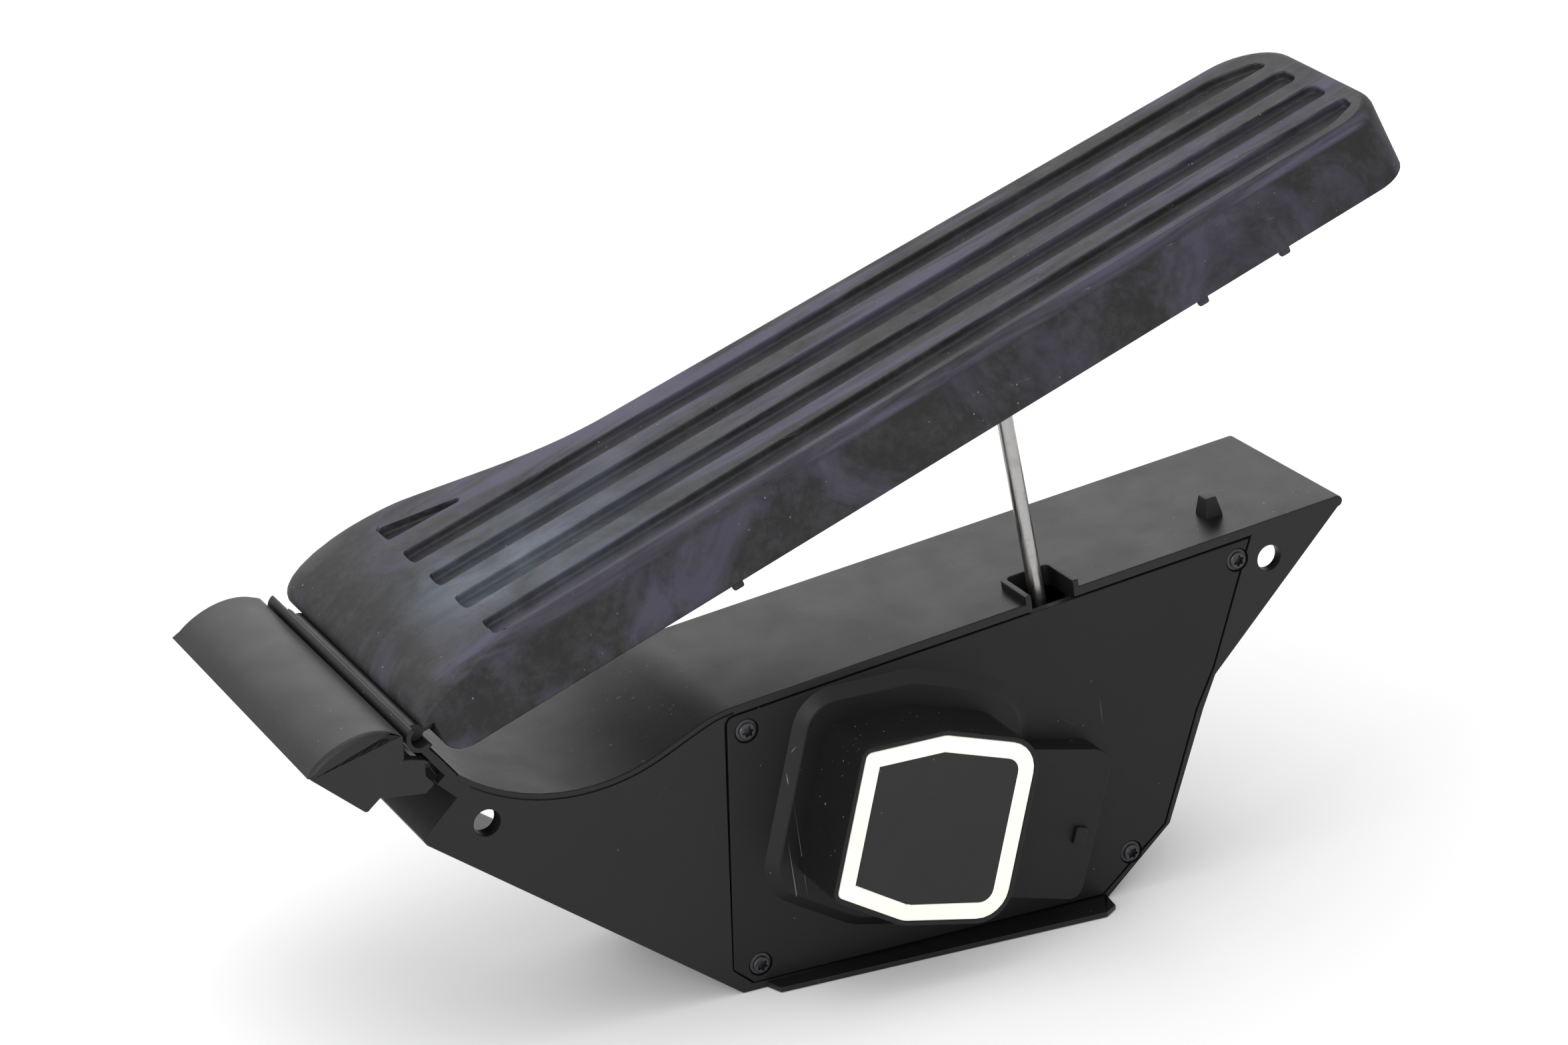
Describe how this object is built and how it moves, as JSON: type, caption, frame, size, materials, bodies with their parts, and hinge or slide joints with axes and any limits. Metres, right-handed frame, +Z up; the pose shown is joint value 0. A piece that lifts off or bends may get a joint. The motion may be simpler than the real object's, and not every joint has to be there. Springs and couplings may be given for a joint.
{
  "type": "accelerator pedal",
  "caption": "Floor-mounted accelerator pedal: a grooved rubber treadle hinged at the heel, with a push rod to a sprung lever in a side box with a sealed sensor block.",
  "frame": {"origin": "midpoint between the two mounting holes, on the outer face of the near wall", "axes": "+X from heel to toe along the base, +Y from the cover side into the box, +Z up"},
  "size_m": [0.3016, 0.1219, 0.1932],
  "materials": {
    "box_plastic": "fine satin moulded texture",
    "cover_plastic": "satin moulded",
    "cap_plastic": "satin, handled",
    "pad_rubber": "soft matt rubber with a pale bloom",
    "plate_plastic": "matt glass-filled plastic",
    "lid_plastic": "smooth",
    "seal_cream": "cast sealing bead, slightly uneven",
    "rod_steel": "drawn bright wire",
    "screw_steel": "dark coated",
    "spring_steel": "oiled spring wire",
    "nylon": "natural nylon",
    "board_green": "solder mask",
    "chip_black": "moulded chip",
    "pin_brass": "tinned",
    "magnet_grey": "sintered"
  },
  "bodies": {
    "base": {"housing": "box_plastic", "side_cover": "cover_plastic", "cover_screw_1": "screw_steel", "cover_screw_2": "screw_steel", "cover_screw_3": "screw_steel", "cover_screw_4": "screw_steel", "sensor_lid": "lid_plastic", "seal_ring": "seal_cream", "sensor_board": "board_green", "hall_sensor": "chip_black", "connector_pins": "pin_brass", "heel_cap": "cap_plastic", "lever_shaft": "rod_steel", "near_bushing": "nylon", "far_bushing": "nylon", "near_spring": "spring_steel", "far_spring": "spring_steel"},
    "treadle": {"treadle_plate": "plate_plastic", "pad": "pad_rubber", "rod_clip": "nylon"},
    "rod": {"push_rod": "rod_steel", "rod_foot": "nylon"},
    "lever_arm": {"lever": "plate_plastic", "magnet_holder": "plate_plastic", "magnet": "magnet_grey"}
  },
  "joints": [
    {"name": "treadle_hinge", "type": "hinge", "parent": "base", "child": "treadle", "pos_m": [-0.12079, 0, 0.01393], "axis": [0, 1, 0], "range_deg": [0, 15], "stiffness_Nm_per_rad": 7, "springref_deg": -25.78},
    {"name": "rod_pivot", "type": "hinge", "parent": "treadle", "child": "rod", "pos_m": [0.03509, 0, 0.06748], "axis": [0, 1, 0], "range_deg": [-15, 0]},
    {"name": "lever_pivot", "type": "hinge", "parent": "base", "child": "lever_arm", "pos_m": [0.00081, 0, -0.04117], "axis": [0, 1, 0], "range_deg": [0, 44.6], "deforming": ["near_spring", "far_spring"]}
  ],
  "couplings": [
    {"joint": "rod_pivot", "follows": "treadle_hinge", "ratio": -1},
    {"joint": "lever_pivot", "follows": "treadle_hinge", "ratio": 2.97}
  ]
}
